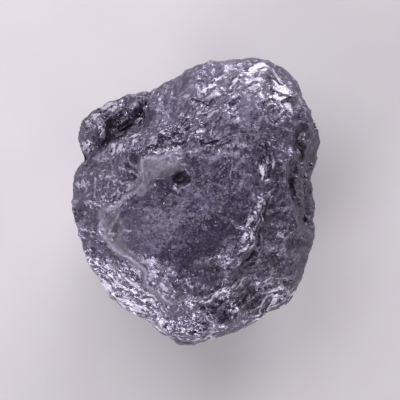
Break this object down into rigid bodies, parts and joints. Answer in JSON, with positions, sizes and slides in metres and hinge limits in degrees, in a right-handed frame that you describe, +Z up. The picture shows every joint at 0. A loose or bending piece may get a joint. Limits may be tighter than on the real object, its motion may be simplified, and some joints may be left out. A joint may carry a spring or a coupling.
{
  "type": "rough diamond",
  "caption": "Rough natural diamond, a dark grey blocky crystal with a pitted upper plateau, stepped ledges, side lobes and a flat cleavage face to rest on.",
  "frame": {"origin": "middle of the stone's plan, on its flat resting face", "axes": "+Y along the stone's longest extent, +Z up out of the resting face along its shortest extent"},
  "size_m": [0.0104, 0.012, 0.0079],
  "materials": {
    "grey_diamond": "dark bluish grey rough diamond, translucent and frosted with glinting cleavage steps"
  },
  "bodies": {
    "root": {"rough_diamond": "grey_diamond"}
  },
  "joints": []
}
